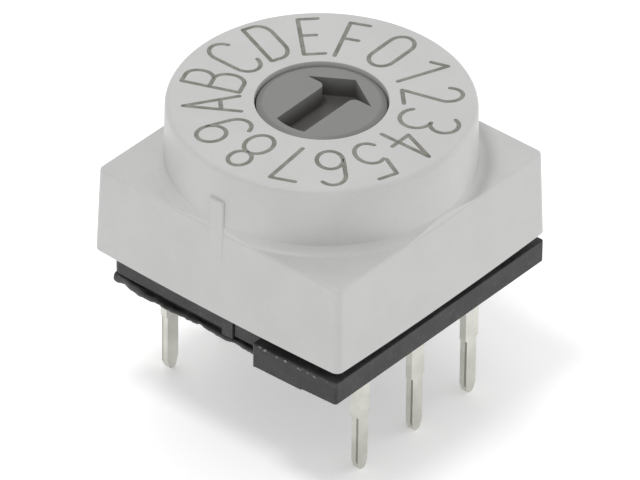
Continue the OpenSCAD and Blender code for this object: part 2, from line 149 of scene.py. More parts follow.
def drum(name, radius, low_z, high_z, sides=240, x=0, y=0):
    """An upright cylinder between two heights."""
    bpy.ops.mesh.primitive_cylinder_add(vertices=sides, radius=radius, depth=high_z - low_z,
                                        location=(x, y, (low_z + high_z) / 2))
    return named(name)


def pick(piece, kind, test):
    """Opens edit mode with the faces, edges or vertices selected whose place and direction pass the test."""
    alone(piece)
    bpy.ops.object.mode_set(mode="EDIT")
    bpy.ops.mesh.select_mode(type=kind)
    bpy.ops.mesh.select_all(action="DESELECT")
    shape = bmesh.from_edit_mesh(piece.data)
    if kind == "FACE":
        items = [(f, f.calc_center_median(), f.normal) for f in shape.faces]
    elif kind == "EDGE":
        items = [(e, (e.verts[0].co + e.verts[1].co) / 2, (e.verts[1].co - e.verts[0].co).normalized()) for e in shape.edges]
    else:
        items = [(v, v.co, v.normal) for v in shape.verts]
    count = 0
    for item, place, way in items:
        if test(place, way):
            item.select_set(True)
            count += 1
    bmesh.update_edit_mesh(piece.data)
    return count


def done():
    """Leaves edit mode."""
    bpy.ops.object.mode_set(mode="OBJECT")


def round_edges(piece, radius, segments, test, profile=0.5):
    """Bevels the edges that pass the test."""
    count = pick(piece, "EDGE", test)
    bpy.ops.mesh.bevel(offset=radius, segments=segments, profile=profile, affect="EDGES", clamp_overlap=True)
    done()
    return count


def combine(piece, tool, operation):
    """Joins, cuts or trims a piece with another one, which is used up."""
    alone(piece)
    change = piece.modifiers.new("combine", "BOOLEAN")
    change.operation = operation
    change.object = tool
    change.solver = "MANIFOLD"
    bpy.ops.object.modifier_apply(modifier=change.name)
    bpy.data.objects.remove(tool)
    return piece


def tidy(piece, angle=30):
    """Merges doubled points, turns the faces outwards and shades smoothly up to an angle."""
    pick(piece, "VERT", lambda p, n: True)
    bpy.ops.mesh.remove_doubles(threshold=0.0001)
    bpy.ops.mesh.select_all(action="SELECT")
    bpy.ops.mesh.normals_make_consistent(inside=False)
    done()
    bpy.ops.object.shade_smooth_by_angle(angle=math.radians(angle))
    weigh = piece.modifiers.new("weigh_normals", "WEIGHTED_NORMAL")
    weigh.keep_sharp = True
    bpy.ops.object.modifier_apply(modifier=weigh.name)
    return piece


def hand_over(piece, body, slot, finish, *stands_for):
    """Brings a finished piece to metres, dresses it and lets it ride on its body."""
    alone(piece)
    piece.scale = (MM, MM, MM)
    bpy.ops.object.transform_apply(location=True, rotation=True, scale=True)
    piece.data.materials.clear()
    piece.data.materials.append(finish)
    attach(piece, body)
    if stands_for:
        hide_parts(*stands_for)
    print(piece.name, "faces:", len(piece.data.polygons), "box in mm:",
          [[round(v / MM, 2) for v in c] for c in (min_corner(piece), max_corner(piece))])


def min_corner(piece):
    return [min(v.co[i] for v in piece.data.vertices) for i in range(3)]


def max_corner(piece):
    return [max(v.co[i] for v in piece.data.vertices) for i in range(3)]

# %% [markdown]
# Shader maths reads best as ordinary sums, so a small class wraps one socket and lets Python's own
# signs add the Math nodes. A finish is one material with a Principled shader, and one method adds any
# other node. Patterns use Object coordinates in metres, so a grain of 0.05 mm needs a scale of 20000.

# %% Shader maths
class Value:
    """A number in a node tree, on which plain arithmetic works."""

    def __init__(self, finish, socket):
        self.finish, self.socket = finish, socket

    def maths(self, operation, first, second):
        return self.finish.node("ShaderNodeMath", {"operation": operation}, **{"0": first, "1": second})

    def __add__(self, other): return self.maths("ADD", self, other)
    def __radd__(self, other): return self.maths("ADD", other, self)
    def __sub__(self, other): return self.maths("SUBTRACT", self, other)
    def __rsub__(self, other): return self.maths("SUBTRACT", other, self)
    def __mul__(self, other): return self.maths("MULTIPLY", self, other)
    def __rmul__(self, other): return self.maths("MULTIPLY", other, self)
    def __truediv__(self, other): return self.maths("DIVIDE", self, other)

    def between(self, low, high):
        """Goes smoothly from 0 at low to 1 at high."""
        return self.finish.node("ShaderNodeMapRange", {"interpolation_type": "SMOOTHSTEP"},
                                **{"Value": self, "From Min": low, "From Max": high, "To Min": 0.0, "To Max": 1.0})

    def largest(self, other): return self.maths("MAXIMUM", self, other)
    def smallest(self, other): return self.maths("MINIMUM", self, other)


class Finish:
    """One material, with its Principled shader and the nodes that feed it."""

    def __init__(self, name, **steady):
        self.material = bpy.data.materials.new(name)
        self.material.use_nodes = True
        self.tree = self.material.node_tree
        self.shader = self.tree.nodes["Principled BSDF"]
        self.object_place = self.node("ShaderNodeTexCoord", output="Object")
        for socket, value in steady.items():
            self.shader.inputs[socket.replace("_", " ")].default_value = value

    def node(self, kind, settings=None, output=0, **inputs):
        """Adds a node: its settings first, then its sockets, by name or by number."""
        node = self.tree.nodes.new(kind)
        for key, value in (settings or {}).items():
            setattr(node, key, value)
        for key, value in inputs.items():
            socket = node.inputs[int(key)] if key.isdigit() else node.inputs[key]
            if isinstance(value, Value):
                self.tree.links.new(value.socket, socket)
            else:
                socket.default_value = value
        return Value(self, node.outputs[output])

    def noise(self, scale, detail=2.0, stretch=None):
        """Noise with a mean of one half; scale is in patterns per metre."""
        place = self.object_place
        if stretch:
            place = self.node("ShaderNodeMapping", **{"Vector": place, "Scale": stretch})
        return self.node("ShaderNodeTexNoise", output="Fac",
                         **{"Vector": place, "Scale": scale, "Detail": detail, "Roughness": 0.55})

    def axis(self, name):
        """One coordinate in millimetres."""
        parts = self.node("ShaderNodeSeparateXYZ", output=name, **{"Vector": self.object_place})
        return parts * (1 / MM)

    def mix(self, factor, first, second):
        """Blends two colours."""
        return self.node("ShaderNodeMix", {"data_type": "RGBA"}, output=2, **{"0": factor, "6": first, "7": second})

    def feed(self, **inputs):
        for key, value in inputs.items():
            self.tree.links.new(value.socket, self.shader.inputs[key.replace("_", " ")])

    def relief(self, height, depth, strength=1.0):
        """Bump from a height between 0 and 1 that stands for a depth in millimetres."""
        self.feed(Normal=self.node("ShaderNodeBump", **{"Height": height, "Distance": depth * MM, "Strength": strength}))


def grey(value, tint=(1, 1, 1)):
    return tuple(value * t for t in tint) + (1,)


print("shader tools ready")

# %% [markdown]
# The housing and the rotor are moulded in a spark-eroded mould, which leaves a very fine matt
# grain. A fine noise gives the grain as bump, and a wide faint noise shifts the shade by a few
# hundredths, as flow in the mould does. The rotor is the same plastic, darker. In the rotor's arrow
# slot the colour carries painted shade, which is darkest toward the slot's floor.

# %% Moulded greys
def moulded_grey(name, shade, tint, grain, slot_painted_shade=None):
    finish = Finish(name, Roughness=0.55, IOR=1.47, Specular_IOR_Level=0.4)
    cloud = finish.noise(700, 3)
    fleck = finish.noise(9000, 2)
    tone = cloud.between(0.3, 0.7) * 0.7 + fleck.between(0.35, 0.65) * 0.3
    colour = finish.mix(tone, grey(shade * 0.97, tint), grey(shade * 1.025, tint))
    if slot_painted_shade:
        # Painted shade: inside the arrow slot the colour goes darker with depth and is darkest at the floor.
        across, along, height = (finish.axis(name) for name in "XYZ")
        painted_slot_shade = (1 - height.between(5.80, 6.37)) * (1 - (across * across + along * along).between(2.8, 3.0))
        colour = finish.mix(painted_slot_shade, colour, grey(slot_painted_shade, (1, 0.95, 0.90)))
    finish.feed(Base_Color=colour)
    finish.feed(Roughness=0.34 + 0.12 * fleck)
    finish.relief(finish.noise(grain, 3), 0.006, 0.55)
    return finish.material


housing_grey = moulded_grey("housing_light_grey", 0.56, (1, 1.002, 0.99), 24000)
# The rotor's last grey is the colour of the painted shade in its arrow slot.
rotor_grey = moulded_grey("rotor_mid_grey", 0.222, (1, 1, 0.985), 20000, slot_painted_shade=0.105)

# %% [markdown]
# The dial's characters are burnt into the top by a laser. The burnt stroke is olive grey, and it
# is a little lighter where the beam moved fast, so a noise shifts its shade.

# %% Dial marking
def burnt_marking():
    finish = Finish("marking_olive_grey", Roughness=0.7, IOR=1.45, Specular_IOR_Level=0.3)
    cloud = finish.noise(2600, 2)
    speck = finish.noise(16000, 2)
    tone = 0.6 * cloud.between(0.3, 0.7) + 0.4 * speck.between(0.3, 0.7)
    finish.feed(Base_Color=finish.mix(tone, grey(0.175, (1, 0.99, 0.86)), grey(0.30, (1, 1, 0.90))))
    finish.feed(Roughness=0.62 + 0.16 * speck)
    finish.relief(speck, 0.004, 0.5)
    return finish.material


marking = burnt_marking()

# %% [markdown]
# The base is black moulding with a filler, so close up it shows fine lighter specks and a soft
# variation. The resin under it was poured and is glossier, wavier and slightly brown.

# %% Blacks
def black_moulding():
    finish = Finish("base_black", Roughness=0.5, IOR=1.5, Specular_IOR_Level=0.38)
    cloud = finish.noise(900, 4)
    specks = finish.noise(14000, 1).between(0.6, 0.78)
    dust = finish.noise(4200, 3).between(0.52, 0.8)
    tone = cloud.between(0.3, 0.7) * 0.35 + specks * 0.5 + dust * 0.25
    colour = finish.mix(tone, grey(0.024), grey(0.10, (1, 0.98, 0.97)))
    at_edge = (1 - finish.axis("Y").between(-4.845, -4.80)) * finish.axis("Z").between(0.74, 0.84)
    worn = at_edge * finish.noise(6500, 1).between(0.60, 0.68)
    finish.feed(Base_Color=finish.mix(worn, colour, grey(0.28)))
    finish.feed(Roughness=0.42 + 0.25 * cloud)
    finish.relief(finish.noise(9000, 4), 0.012, 0.7)
    return finish.material


def poured_resin():
    finish = Finish("resin_black", Roughness=0.35, IOR=1.55, Specular_IOR_Level=0.42)
    cloud = finish.noise(1500, 3)
    finish.feed(Base_Color=finish.mix(cloud.between(0.35, 0.75), grey(0.018, (1, 0.94, 0.95)), grey(0.062, (1, 0.94, 0.94))))
    finish.feed(Roughness=0.28 + 0.3 * cloud)
    finish.relief(finish.noise(3200, 3), 0.03, 0.8)
    return finish.material


base_black, resin_black = black_moulding(), poured_resin()

# %% [markdown]
# The pins are stamped from tinned strip. The faces keep the dull tin; the two narrow edges were
# sheared, so along the outer face a torn band is darker and rougher, with fine streaks along the pin.
# The mask for the torn band comes from the distance to the pin's outer face and from the height.

# %% Metals, rubber and laminate
def dull_tin():
    finish = Finish("pin_dull_tin", Metallic=1.0, Roughness=0.38)
    cloud = finish.noise(1400, 3)
    streak = finish.noise(2600, 3, (6, 6, 0.35))
    away = finish.axis("X")
    out = away.largest(0 - away)
    along = finish.axis("Y")
    pitch_mod = finish.node("ShaderNodeMath", {"operation": "PINGPONG"}, **{"0": along, "1": 1.27})
    torn = out.between(3.862, 3.872) * (1 - out.between(3.926, 3.936)) * (1 - finish.axis("Z").between(-1.99, -1.94))
    edge = pitch_mod.between(0.205, 0.222)
    mask = torn * edge
    clean = finish.mix(cloud.between(0.3, 0.7), grey(0.61, (1, 0.995, 0.91)), grey(0.70, (1, 1.0, 0.925)))
    finish.feed(Base_Color=finish.mix(mask * (0.55 + 0.45 * streak), clean, grey(0.32, (1, 0.96, 0.80))))
    finish.feed(Roughness=0.34 + 0.12 * cloud + 0.2 * mask)
    finish.relief(streak * 0.5 + cloud * 0.5, 0.012, 0.5)
    return finish.material


def plain_metal(name, shade, tint, rough, grain):
    finish = Finish(name, Metallic=1.0, Roughness=rough)
    lines = finish.noise(grain, 2, (0.2, 3, 3))
    finish.feed(Base_Color=finish.mix(lines, grey(shade * 0.93, tint), grey(shade * 1.05, tint)))
    finish.feed(Roughness=rough - 0.06 + 0.12 * lines)
    finish.relief(lines, 0.002, 0.4)
    return finish.material


def ring_rubber():
    finish = Finish("ring_rubber", Roughness=0.6)
    bloom = finish.noise(3000, 3)
    finish.feed(Base_Color=finish.mix(bloom, grey(0.014), grey(0.035)))
    finish.feed(Roughness=0.5 + 0.2 * bloom)
    finish.relief(finish.noise(16000, 2), 0.004, 0.5)
    return finish.material


def disc_laminate():
    """Green laminate with gold on the raised tracks, told apart by height."""
    finish = Finish("disc_laminate", Roughness=0.4)
    weave = finish.noise(5000, 2, (1, 4, 1))
    gold = 1 - finish.axis("Z").between(4.095, 4.105)
    green = finish.mix(weave, grey(1, (0.035, 0.13, 0.05)), grey(1, (0.05, 0.19, 0.075)))
    finish.feed(Base_Color=finish.mix(gold, green, grey(1, (0.85, 0.62, 0.26))), Metallic=gold)
    finish.feed(Roughness=0.45 - 0.15 * gold + 0.05 * weave)
    finish.relief(weave, 0.003, 0.4)
    return finish.material


pin_tin, rubber, laminate = dull_tin(), ring_rubber(), disc_laminate()
steel = plain_metal("spring_steel", 0.58, (1, 1, 1.01), 0.28, 3000)
gold = plain_metal("contact_gold", 0.85, (1, 0.74, 0.34), 0.25, 3000)
print("finishes:", [m.name for m in bpy.data.materials])

# %% [markdown]
# The floor is plain and pale, a little rough, so that it shows only a faint contact shadow.

# %% Floor finish
pale = Finish("pale_floor", Roughness=0.9, Emission_Color=(1, 1, 1, 1), Emission_Strength=0.27)
pale.feed(Base_Color=pale.mix(pale.noise(60, 2), grey(0.955), grey(0.965)))
floor.data.materials.append(pale.material)


# %% [markdown]
# The housing is one moulding: a square block whose sides lean in a little so that it leaves the
# mould, and a round collar on it that carries the dial. It could be cut from one block, but adding
# simple solids and then hollowing them, as the mould maker does, keeps every edge easy to round.

# %% Housing: the square block
RIM_HALF, SHOULDER_HALF, RIM_Z, SHOULDER_Z, TOP_Z = 4.85, 4.757, 1.30, 4.25, 6.44
UPRIGHT_R, SHOULDER_R, RIM_SAG = 0.24, 0.10, 0.085
housing = box_piece("housing_fine", (-RIM_HALF, -RIM_HALF, RIM_Z), (RIM_HALF, RIM_HALF, SHOULDER_Z))
pick(housing, "FACE", lambda p, n: n.z > 0.9)
bpy.ops.transform.resize(value=(SHOULDER_HALF / RIM_HALF, SHOULDER_HALF / RIM_HALF, 1))
done()
round_edges(housing, UPRIGHT_R, 10, lambda p, n: abs(n.z) > 0.9)
round_edges(housing, SHOULDER_R, 5, lambda p, n: p.z > SHOULDER_Z - 0.001)
print("block faces:", len(housing.data.polygons))

# %% [markdown]
# Thin walls sink a little in the mould, and here the lower rim hangs 0.08 mm lower in the middle of
# each side. The rim's edges are divided, and their middles are pulled down with proportional editing,
# whose inverse-square falloff is exactly a parabola.

# %% Housing: the rim
pick(housing, "EDGE", lambda p, n: p.z < RIM_Z + 0.001 and max(abs(p.x), abs(p.y)) > RIM_HALF - 0.01 and min(abs(p.x), abs(p.y)) < 0.1)
bpy.ops.mesh.subdivide(number_cuts=15)
done()
middles = pick(housing, "VERT", lambda p, n: p.z < RIM_Z + 0.001 and max(abs(p.x), abs(p.y)) > RIM_HALF - 0.01 and min(abs(p.x), abs(p.y)) < 0.01)
bpy.ops.transform.translate(value=(0, 0, -RIM_SAG), use_proportional_edit=True,
                            proportional_edit_falloff="INVERSE_SQUARE", proportional_size=RIM_HALF - UPRIGHT_R)
done()
pick(housing, "FACE", lambda p, n: n.z < -0.9)
bpy.ops.mesh.inset(thickness=0.37, depth=0)
bpy.ops.transform.resize(value=(1, 1, 0))
done()
print("middles pulled down:", middles)

# %% [markdown]
# The collar is a drum with a slight taper and a rounded top edge. Where it stands on the block, a
# hollow fillet fills the corner. A bevel with a low profile value gives that hollow curve, and a square
# trims it flush with the block's sides. The rib in front is upright while the face leans, so it stands
# out most at its top and fades into the face below.

# %% Housing: collar, foot and rib
FOOT_R, COLLAR_TOP_R, COLLAR_EDGE_R, FILLET_R = 4.74, 4.688, 0.18, 0.30
RIB_HALF, RIB_TOP, RIB_LENGTH, RIB_PROUD = 0.275, 5.35, 2.80, 0.05
collar = drum("collar", FOOT_R, SHOULDER_Z - 0.4, TOP_Z)
pick(collar, "FACE", lambda p, n: n.z > 0.9)
bpy.ops.transform.resize(value=(COLLAR_TOP_R / FOOT_R, COLLAR_TOP_R / FOOT_R, 1))
done()
round_edges(collar, COLLAR_EDGE_R, 8, lambda p, n: p.z > TOP_Z - 0.001)
foot = drum("foot", FOOT_R - 0.02 + FILLET_R, SHOULDER_Z - 0.05, SHOULDER_Z + FILLET_R)
round_edges(foot, FILLET_R, 8, lambda p, n: p.z > SHOULDER_Z + FILLET_R - 0.001, profile=0.12)
side = SHOULDER_HALF - 0.005
combine(foot, box_piece("square", (-side, -side, SHOULDER_Z - 0.3), (side, side, SHOULDER_Z + 1)), "INTERSECT")
rib = box_piece("rib", (-RIB_HALF, -SHOULDER_HALF - RIB_PROUD, RIB_TOP - RIB_LENGTH), (RIB_HALF, -4.2, RIB_TOP))
round_edges(rib, 0.09, 5, lambda p, n: abs(n.z) > 0.9 and p.y < -4.5)
round_edges(rib, 0.03, 3, lambda p, n: p.z > RIB_TOP - 0.001 and p.y < -4.3)
for solid in (collar, foot, rib):
    combine(housing, solid, "UNION")
print("housing outside:", len(housing.data.polygons))

# %% [markdown]
# Inside, the housing has a square pocket for the base, a round chamber for the detent wheel, a
# groove for the rubber ring and the bore for the rotor's head. The bore's edge gets a small rounding.

# %% Housing: the hollow
POCKET_HALF, POCKET_Z, CHAMBER_R, CEILING_Z = 4.0, 3.51, 3.9, 5.56
RING_GROOVE_R, RING_GROOVE_Z, BORE_R, BORE_EDGE_R = 2.51, 6.05, 2.02, 0.08
combine(housing, box_piece("pocket", (-POCKET_HALF, -POCKET_HALF, RIM_Z - 1), (POCKET_HALF, POCKET_HALF, POCKET_Z)), "DIFFERENCE")
combine(housing, drum("chamber", CHAMBER_R, RIM_Z - 1, CEILING_Z), "DIFFERENCE")
combine(housing, drum("ring_groove", RING_GROOVE_R, CEILING_Z - 0.5, RING_GROOVE_Z), "DIFFERENCE")
combine(housing, drum("bore", BORE_R, CEILING_Z - 0.5, TOP_Z + 1), "DIFFERENCE")
rounded = round_edges(housing, BORE_EDGE_R, 5, lambda p, n: p.z > TOP_Z - 0.001 and abs(math.hypot(p.x, p.y) - BORE_R) < 0.01)
tidy(housing)
hand_over(housing, "switch_body", "housing_plastic", housing_grey, "housing")
print("bore edges rounded:", rounded)

# %% [markdown]
# The rotor's head is a disc with a sloping ring round it, and under it sits the detent wheel with
# its sixteen notches. The arrow for the screwdriver is cut in: a shaft, a three-sided head, and hollow
# fillets where they meet. The whole rotor is turned a little, as the photograph shows it.

# %% Rotor
HEAD_R, HEAD_Z, SLOPE_W, SLOPE_H, WHEEL_R, WHEEL_LOW, WHEEL_HIGH = 1.97, 6.38, 0.2, 0.1, 3.3, 4.31, 5.51
NOTCHES, NOTCH_R, NOTCH_DEPTH, PIVOT_HOLE_R, PIVOT_HOLE_TOP = 16, 0.45, 0.25, 0.50, 5.06
REST_TURN = math.radians(1.0)
rotor = drum("rotor_fine", HEAD_R, WHEEL_LOW, HEAD_Z - SLOPE_H)
pick(rotor, "FACE", lambda p, n: n.z > 0.9)
bpy.ops.mesh.inset(thickness=SLOPE_W, depth=0)
bpy.ops.transform.translate(value=(0, 0, SLOPE_H))
done()
round_edges(rotor, 0.03, 3, lambda p, n: p.z > HEAD_Z - SLOPE_H - 0.001 and abs(n.z) < 0.01)
wheel = drum("wheel", WHEEL_R, WHEEL_LOW, WHEEL_HIGH)
for i in range(NOTCHES):
    turn = math.radians(90 + i * 360 / NOTCHES)
    far = WHEEL_R + NOTCH_R - NOTCH_DEPTH
    combine(wheel, drum("notch", NOTCH_R, WHEEL_LOW - 0.5, WHEEL_HIGH + 0.5, 48, far * math.cos(turn), far * math.sin(turn)), "DIFFERENCE")
combine(rotor, wheel, "UNION")
combine(rotor, drum("pivot_hole", PIVOT_HOLE_R, WHEEL_LOW - 0.5, PIVOT_HOLE_TOP, 64), "DIFFERENCE")
print("rotor faces before the slot:", len(rotor.data.polygons))

# %% Rotor: the arrow slot
SLOT_DEPTH, SLOT_X, SHAFT_HALF, TAIL_R, BARB_HALF, BARB_Y, POINT_Y, INNER_R = 0.65, 0.05, 0.53, 1.60, 1.22, 0.77, 1.53, 0.24
low, high = HEAD_Z - SLOT_DEPTH, HEAD_Z + 0.5
arrow = box_piece("arrow", (-SHAFT_HALF, -2.5, low), (SHAFT_HALF, BARB_Y + 0.02, high))
combine(arrow, drum("tail", TAIL_R, low - 1, high + 1, 128), "INTERSECT")
bpy.ops.mesh.primitive_cylinder_add(vertices=3, radius=1, depth=high - low, location=(0, 0, (low + high) / 2))
barbs = named("barbs")
barbs.scale = (BARB_HALF / math.cos(math.radians(30)), (POINT_Y - BARB_Y) / 1.5, 1)
barbs.location = (0, BARB_Y + (POINT_Y - BARB_Y) / 3, 0)
alone(barbs)
bpy.ops.object.transform_apply(location=True, rotation=True, scale=True)
combine(arrow, barbs, "UNION")
for side in (-1, 1):
    inside, outside = side * (SHAFT_HALF - 0.01), side * (SHAFT_HALF + INNER_R)
    corner = box_piece("corner", (min(inside, outside), BARB_Y - INNER_R, low), (max(inside, outside), BARB_Y + 0.01, high))
    combine(corner, drum("hollow", INNER_R, low - 1, high + 1, 64, outside, BARB_Y - INNER_R), "DIFFERENCE")
    combine(arrow, corner, "UNION")
arrow.location.x = SLOT_X
alone(arrow)
bpy.ops.object.transform_apply(location=True, rotation=False, scale=False)
combine(rotor, arrow, "DIFFERENCE")
round_edges(rotor, 0.015, 2, lambda p, n: abs(p.z - HEAD_Z) < 0.001 and math.hypot(p.x, p.y) < 1.7 and abs(n.z) < 0.01)
alone(rotor)
rotor.rotation_euler.z = REST_TURN
bpy.ops.object.transform_apply(location=False, rotation=True, scale=False)
tidy(rotor)
hand_over(rotor, "rotor_unit", "rotor_plastic", rotor_grey, "rotor")
print("arrow from tail to tip:", TAIL_R + POINT_Y, "mm")

# %% [markdown]
# The dial carries the sixteen signs 0 to 9 and A to F, drawn by a laser with one stroke width. Each
# sign is a few lines and arcs, so it is a curve with a round bevel, which is then pressed flat. A stroke
# ends in a few points with a shrinking radius, which makes the round end that the beam leaves.

# %% Dial: strokes of the signs
CAP, STROKE_R, DIAL_R, SIGN_STEP = 0.89, 0.067, 3.335, 22.5


def arc(x, y, wide, high, start, end):
    """Points of an arc, every nine degrees or so."""
    steps = max(2, round(abs(end - start) / 9))
    angles = [math.radians(start + (end - start) * i / steps) for i in range(steps + 1)]
    return [(x + wide * math.cos(a), y + high * math.sin(a)) for a in angles]


T, B = CAP, -CAP
bowl_6 = arc(0.03, 0.40, 0.42, 0.49, 35, 175) + [(-0.41, -0.2)] + arc(0, -0.42, 0.41, 0.47, 180, 540)
SIGNS = {
    "0": [arc(0, 0.44, 0.405, 0.45, 0, 180) + arc(0, -0.44, 0.405, 0.45, 180, 360) + [(0.405, 0.44)]],
    "1": [[(-0.44, 0.52), (0, T)], [(0, T), (0, B)]],
    "2": [arc(-0.01, 0.46, 0.40, 0.43, 170, -25) + [(-0.40, B)], [(-0.40, B), (0.42, B)]],
    "3": [arc(-0.03, 0.47, 0.38, 0.42, 150, -80), arc(-0.03, -0.40, 0.44, 0.48, 85, -150)],
    "4": [[(0.42, -0.26), (-0.42, -0.26)], [(-0.42, -0.26), (0.10, T)], [(0.10, T), (0.10, B)]],
    "5": [[(0.38, T), (-0.24, T)], [(-0.24, T), (-0.33, 0.13)], [(-0.33, 0.13)] + arc(-0.02, -0.37, 0.43, 0.52, 125, -145)],
    "6": [bowl_6],
    "7": [[(-0.42, T), (0.40, T)], [(0.40, T), (-0.12, B)]],
    "8": [arc(0, 0.51, 0.33, 0.38, -90, 270), arc(0, -0.38, 0.41, 0.50, 90, 450)],
    "9": [[(-x, -y) for x, y in bowl_6]],
    "A": [[(-0.47, B), (0, T)], [(0, T), (0.47, B)], [(-0.31, -0.28), (0.31, -0.28)]],
    "B": [[(-0.38, 0.04), (0.08, 0.04)], [(-0.38, B), (-0.38, T)], [(-0.38, T), (0.02, T)] + arc(0.02, 0.46, 0.33, 0.42, 85, -85),
          arc(0.05, -0.42, 0.38, 0.47, 85, -85) + [(-0.38, B)]],
    "C": [arc(0.05, 0.42, 0.45, 0.47, 18, 175) + arc(0.05, -0.42, 0.45, 0.47, 185, 345)],
    "D": [[(-0.38, B), (-0.38, T)], [(-0.38, T), (-0.05, T)] + arc(-0.03, 0.35, 0.44, 0.54, 85, 10) + arc(-0.03, -0.35, 0.44, 0.54, -10, -85) + [(-0.38, B)]],
    "E": [[(0.38, T), (-0.34, T)], [(-0.34, T), (-0.34, B)], [(-0.34, B), (0.42, B)], [(-0.34, 0.06), (0.22, 0.06)]],
    "F": [[(0.40, T), (-0.34, T)], [(-0.34, T), (-0.34, B)], [(-0.34, 0.06), (0.24, 0.06)]],
}
print("signs:", "".join(SIGNS), "strokes:", sum(len(s) for s in SIGNS.values()))

# %% [markdown]
# The laser head's small errors show: each sign sits a few hundredths of a millimetre off its place,
# leans a little and is a little wider or narrower. These are its shift across and outwards, its lean, and
# its width and height.

# %% Dial: the marking
HAND = {"0": (-0.07, -0.02, 0.03, 0.97, 1.0), "1": (0.12, 0.01, 0.02, 0.97, 0.97), "2": (-0.03, 0, 0, 0.87, 1.01),
        "3": (0.04, 0.03, -0.05, 1.1, 1.03), "4": (0.03, 0.03, 0.03, 0.92, 1.01), "5": (-0.03, 0.09, 0.05, 0.97, 1.0),
        "6": (-0.03, 0.14, 0.05, 0.95, 0.96), "7": (-0.14, 0.04, 0.02, 0.96, 0.94), "8": (-0.1, 0, 0.02, 0.99, 1.01),
        "9": (-0.1, -0.02, -0.01, 0.97, 0.97), "A": (-0.03, -0.04, 0, 0.84, 0.97), "B": (-0.04, 0.03, -0.01, 0.99, 1.03),
        "C": (-0.1, 0.06, 0.01, 0.9, 1.02), "D": (-0.1, 0.07, 0.03, 0.94, 1.04), "E": (-0.09, 0, 0.03, 0.85, 1.04),
        "F": (-0.11, -0.1, 0.04, 0.83, 1.02)}
ROUND_END = [(0.06, 0.02), (0.054, 0.45), (0.036, 0.8), (0.0, 1.0)]
strokes = bpy.data.curves.new("dial_marking", "CURVE")
strokes.dimensions = "3D"
strokes.bevel_depth = STROKE_R
strokes.bevel_resolution = 3
strokes.use_fill_caps = True
for i, (sign, lines) in enumerate(SIGNS.items()):
    across, outward, lean, wide, high = HAND[sign]
    turn = math.radians(90 - SIGN_STEP * i)
    for line in lines:
        points = [Vector((x * wide * math.cos(lean) - y * high * math.sin(lean) + across,
                          x * wide * math.sin(lean) + y * high * math.cos(lean) + outward + DIAL_R)) for x, y in line]
        first, last = (points[0] - points[1]).normalized(), (points[-1] - points[-2]).normalized()
        path = [(points[0] + first * d, r) for d, r in ROUND_END] + [(p, 1.0) for p in points[1:-1]]
        path += [(points[-1] + last * d, r) for d, r in reversed(ROUND_END)]
        spline = strokes.splines.new("POLY")
        spline.points.add(len(path) - 1)
        for point, (p, r) in zip(spline.points, path):
            point.co = (p.x * math.sin(turn) + p.y * math.cos(turn), p.y * math.sin(turn) - p.x * math.cos(turn), 0, 1)
            point.radius = r
dial = bpy.data.objects.new("dial_marking", strokes)
bpy.context.scene.collection.objects.link(dial)
alone(dial)
bpy.ops.object.convert(target="MESH")
dial = bpy.context.object
dial.scale = (1, 1, 0.2)
dial.location = (0, 0, TOP_Z)
bpy.ops.object.transform_apply(location=True, rotation=True, scale=True)
bpy.ops.object.shade_smooth()
hand_over(dial, "switch_body", "housing_plastic", marking)

# %% [markdown]
# The base is a black moulding that closes the housing from below: a plug, a band under the rim with a
# groove and a short seam, and a rail at the right that stands on the board. The photograph shows the
# rail's top sinking toward the left and its underside rising toward the near corner, so both are tilted.

# %% Base: plug, band and rail
RAIL_LEFT, RAIL_RIGHT, RAIL_HALF, RAIL_H, RAIL_SINK = 1.49, 4.79, 4.85, 0.93, 0.10
BAND_HALF, BAND_R, BAND_Z, RIGHT_BAND_Z, GROOVE_HALF, RESIN_Z = 4.46, 0.35, 0.43, 0.34, 4.30, 0.21
PLUG_HALF, PLUG_Z, SEAM_X, SEAM_W, SEAM_DEPTH, SEAM_STEP, WEB_W = 3.95, 3.41, 0.38, 0.06, 0.12, 0.05, 0.42


def rounded_box(name, low, high, upright, edge):
    """A box with rounded upright corners and softened rims."""
    piece = box_piece(name, low, high)
    round_edges(piece, upright, 8, lambda p, n: abs(n.z) > 0.9)
    round_edges(piece, edge, 3, lambda p, n: abs(n.z) < 0.1)
    return piece


def soften(piece, width, angle=40):
    """Rounds every edge that is sharper than an angle."""
    alone(piece)
    change = piece.modifiers.new("soften", "BEVEL")
    change.width, change.segments, change.limit_method, change.angle_limit = width, 3, "ANGLE", math.radians(angle)
    bpy.ops.object.modifier_apply(modifier=change.name)
    return piece


base = rounded_box("base_fine", (-PLUG_HALF, -PLUG_HALF, RIM_Z - 0.05), (PLUG_HALF, PLUG_HALF, PLUG_Z), 0.1, 0.03)
band = rounded_box("band", (-BAND_HALF, -BAND_HALF, BAND_Z), (BAND_HALF, BAND_HALF, RIM_Z), BAND_R, 0.02)
combine(band, box_piece("right_band", (SEAM_X + SEAM_W, -BAND_HALF, RIGHT_BAND_Z), (RAIL_LEFT + 0.1, BAND_HALF, BAND_Z + 0.1)), "UNION")
combine(band, rounded_box("groove", (-GROOVE_HALF, -GROOVE_HALF, RESIN_Z - 0.1), (GROOVE_HALF, GROOVE_HALF, BAND_Z + 0.1), 0.2, 0.02), "UNION")
combine(band, box_piece("web", (SEAM_X - WEB_W, -BAND_HALF, RESIN_Z), (SEAM_X, BAND_HALF, BAND_Z + 0.1)), "UNION")
for side in (-1, 1):
    for left, right, depth in ((SEAM_X, SEAM_X + SEAM_W, SEAM_DEPTH), (SEAM_X, RAIL_LEFT, SEAM_STEP)):
        y = side * BAND_HALF
        combine(band, box_piece("seam", (left, y - depth, RESIN_Z - 0.2), (right, y + depth, RIM_Z + 0.1)), "DIFFERENCE")
rail = box_piece("rail", (RAIL_LEFT, -RAIL_HALF, 0), (RAIL_RIGHT, RAIL_HALF, RAIL_H))
pick(rail, "VERT", lambda p, n: p.z > 0.5 and p.x < RAIL_LEFT + 0.1)
bpy.ops.transform.translate(value=(0, 0, -RAIL_SINK))
done()
